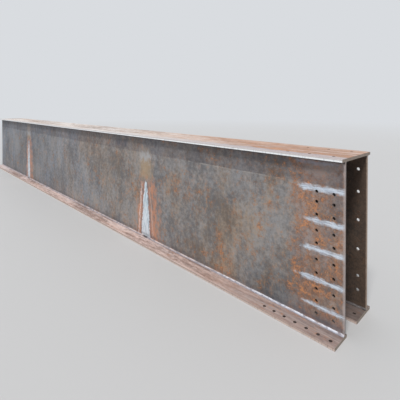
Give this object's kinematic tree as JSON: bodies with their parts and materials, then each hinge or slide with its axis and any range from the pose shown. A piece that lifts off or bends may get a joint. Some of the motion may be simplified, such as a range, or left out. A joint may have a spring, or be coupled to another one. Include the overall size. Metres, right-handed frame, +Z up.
{
  "type": "welded h-beam",
  "caption": "Deep welded steel beam with two parallel webs under one top flange, each web on its own bottom flange, mill-scaled and rusting, with splice bolt holes at one end.",
  "frame": {"origin": "middle of the beam's length and width, on the underside of the bottom flanges", "axes": "+X along the beam to the drilled end, +Y from the front web to the back web, +Z up from the bottom flanges to the top flange"},
  "size_m": [6.5, 0.467, 0.9],
  "materials": {
    "front_web_steel": "blue-grey mill scale with patches of orange rust",
    "back_web_steel": "dark brown-grey mill scale",
    "top_flange_steel": "worn mill scale under a thin salmon and tan rust",
    "bottom_flange_steel": "thin pink-brown rust with a pale flame-cut edge",
    "weld_metal": "bright as-welded bead with a dark heat line"
  },
  "bodies": {
    "root": {"front_web": "front_web_steel", "back_web": "back_web_steel", "top_flange": "top_flange_steel", "front_bottom_flange": "bottom_flange_steel", "back_bottom_flange": "bottom_flange_steel", "weld_front_web_head_front": "weld_metal", "weld_front_web_head_back": "weld_metal", "weld_front_web_foot_front": "weld_metal", "weld_front_web_foot_back": "weld_metal", "weld_back_web_head_front": "weld_metal", "weld_back_web_head_back": "weld_metal", "weld_back_web_foot_front": "weld_metal", "weld_back_web_foot_back": "weld_metal"}
  },
  "joints": []
}
